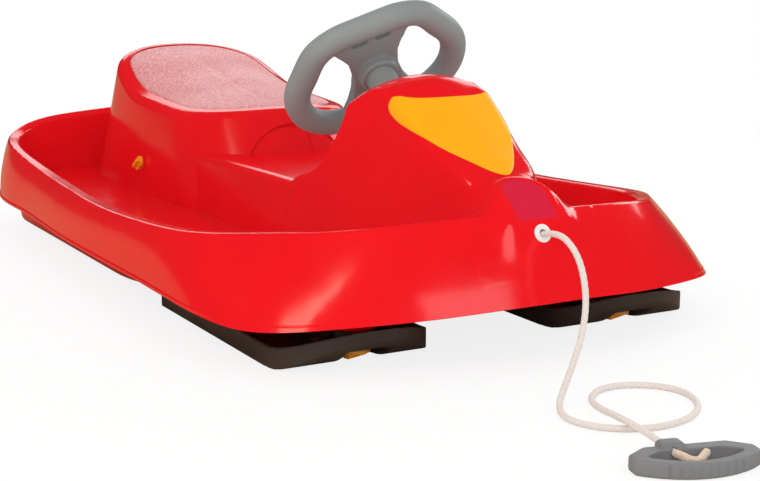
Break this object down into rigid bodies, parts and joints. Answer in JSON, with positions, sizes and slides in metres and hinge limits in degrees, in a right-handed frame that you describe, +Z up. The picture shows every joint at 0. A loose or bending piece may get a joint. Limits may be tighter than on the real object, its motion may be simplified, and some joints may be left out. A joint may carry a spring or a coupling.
{
  "type": "steering sled",
  "caption": "Child's steering sled: moulded tub with saddle seat and hood, hand wheel turning the front skis through a tie bar, rear runner pan and tow rope with handle",
  "frame": {"origin": "on the floor, under the middle of the sled's box (rope left out)", "axes": "X to the driver's left, Y to the rear along the sled, Z up"},
  "size_m": [0.5472, 1.2597, 0.3076],
  "materials": {
    "shell_red": "glossy moulded red",
    "pad_grain": "fine grained, dull sheen",
    "shield_yellow": "smooth yellow",
    "plug_orange": "smooth orange",
    "fitting_black": "moulded black",
    "ski_black": "moulded black",
    "steel": "bright zinc plate",
    "wheel_grey": "soft grey, fine texture",
    "eyelet_white": "smooth white",
    "rope_white": "braided off-white",
    "knot_tan": "braided, tan"
  },
  "bodies": {
    "sled": {"upper_shell": "shell_red", "lower_hull": "shell_red", "seat_pad": "pad_grain", "hood_shield": "shield_yellow", "side_plugs": "plug_orange", "shell_screws": "steel", "pivot_bolts": "plug_orange", "pivot_washers": "steel", "column_bush": "fitting_black", "column_bearing": "fitting_black", "rope_eyelet": "eyelet_white", "tow_rope": "rope_white", "rope_stop_knot": "rope_white", "tow_handle": "wheel_grey", "handle_knot": "knot_tan"},
    "steering": {"steering_wheel": "wheel_grey", "wheel_cap": "wheel_grey", "wheel_cross_pin": "steel", "steering_rod": "steel", "column_sleeve": "wheel_grey", "rod_clip": "steel"},
    "tie": {"tie_bar": "fitting_black"},
    "left_ski_body": {"left_ski": "ski_black", "left_steering_pin": "steel", "left_pin_clip": "steel"},
    "right_ski_body": {"right_ski": "ski_black", "right_steering_pin": "steel", "right_pin_clip": "steel"}
  },
  "joints": [
    {"name": "steering_turn", "type": "hinge", "parent": "sled", "child": "steering", "pos_m": [0, -0.155, 0.238], "axis": [0, 0.8, 0.6], "range_deg": [-15, 15]},
    {"name": "left_ski_turn", "type": "hinge", "parent": "sled", "child": "left_ski_body", "pos_m": [0.145, -0.382, 0.02], "axis": [0, 0, 1], "range_deg": [-12, 12]},
    {"name": "right_ski_turn", "type": "hinge", "parent": "sled", "child": "right_ski_body", "pos_m": [-0.145, -0.382, 0.02], "axis": [0, 0, 1], "range_deg": [-12, 12]},
    {"name": "tie_bar_slide", "type": "slide", "parent": "sled", "child": "tie", "axis": [1, 0, 0], "range_m": [-0.0235, 0.0235]}
  ],
  "couplings": [
    {"joint": "left_ski_turn", "follows": "steering_turn", "ratio": 0.783},
    {"joint": "right_ski_turn", "follows": "steering_turn", "ratio": 0.783},
    {"joint": "tie_bar_slide", "follows": "steering_turn", "m_per_rad": -0.0873}
  ]
}
